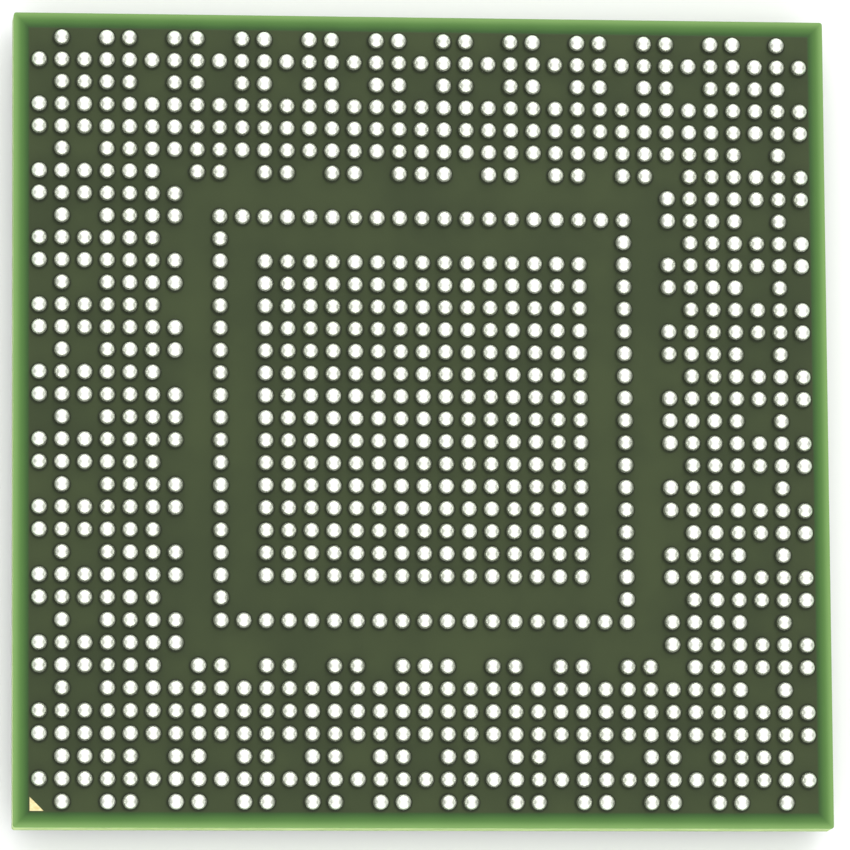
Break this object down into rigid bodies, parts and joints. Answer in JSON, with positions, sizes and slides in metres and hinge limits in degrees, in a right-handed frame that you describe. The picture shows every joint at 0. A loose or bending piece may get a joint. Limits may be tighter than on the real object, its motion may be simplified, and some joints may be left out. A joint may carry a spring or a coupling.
{
  "type": "bga chip",
  "caption": "Square bare-die chip package lying on its die: green substrate with a depopulated grid of solder balls on top, small capacitors round the die below.",
  "frame": {"origin": "centre of the die's back face, which is the lowest face of the part as it lies ball side up", "axes": "+Z from the die through the substrate to the ball tops, +X and +Y along the substrate's edges, with the A1 corner at -X, -Y"},
  "size_m": [0.029, 0.029, 0.0024],
  "materials": {
    "solder_mask": "satin",
    "build_up_resin": "satin",
    "laminate": "matte",
    "copper": "satin",
    "gold_plate": "polished",
    "solder": "polished",
    "tin_plate": "satin",
    "silicon": "polished",
    "underfill_resin": "gloss",
    "capacitor_ceramic": "satin"
  },
  "bodies": {
    "root": {"solder_mask_ball_side": "solder_mask", "copper_plane_ball_side": "copper", "ball_lands": "copper", "a1_mark_ball_side": "gold_plate", "core_balls": "solder", "ring_balls": "solder", "field_balls_north": "solder", "field_balls_east": "solder", "field_balls_south": "solder", "field_balls_west": "solder", "build_up_ball_side": "build_up_resin", "core_laminate": "laminate", "build_up_die_side": "build_up_resin", "solder_mask_die_side": "solder_mask", "copper_plane_die_side": "copper", "a1_mark_die_side": "gold_plate", "underfill": "underfill_resin", "die_bumps": "solder", "bump_pads": "copper", "silicon_die": "silicon", "capacitor_lands": "copper", "capacitor_solder": "solder", "capacitor_east_1_body": "capacitor_ceramic", "capacitor_east_2_body": "capacitor_ceramic", "capacitor_east_3_body": "capacitor_ceramic", "capacitor_east_4_body": "capacitor_ceramic", "capacitor_north_1_body": "capacitor_ceramic", "capacitor_north_2_body": "capacitor_ceramic", "capacitor_north_3_body": "capacitor_ceramic", "capacitor_north_4_body": "capacitor_ceramic", "capacitor_west_1_body": "capacitor_ceramic", "capacitor_west_2_body": "capacitor_ceramic", "capacitor_west_3_body": "capacitor_ceramic", "capacitor_west_4_body": "capacitor_ceramic", "capacitor_south_1_body": "capacitor_ceramic", "capacitor_south_2_body": "capacitor_ceramic", "capacitor_south_3_body": "capacitor_ceramic", "capacitor_south_4_body": "capacitor_ceramic", "capacitor_east_1_ends": "tin_plate", "capacitor_east_2_ends": "tin_plate", "capacitor_east_3_ends": "tin_plate", "capacitor_east_4_ends": "tin_plate", "capacitor_north_1_ends": "tin_plate", "capacitor_north_2_ends": "tin_plate", "capacitor_north_3_ends": "tin_plate", "capacitor_north_4_ends": "tin_plate", "capacitor_west_1_ends": "tin_plate", "capacitor_west_2_ends": "tin_plate", "capacitor_west_3_ends": "tin_plate", "capacitor_west_4_ends": "tin_plate", "capacitor_south_1_ends": "tin_plate", "capacitor_south_2_ends": "tin_plate", "capacitor_south_3_ends": "tin_plate", "capacitor_south_4_ends": "tin_plate"}
  },
  "joints": []
}
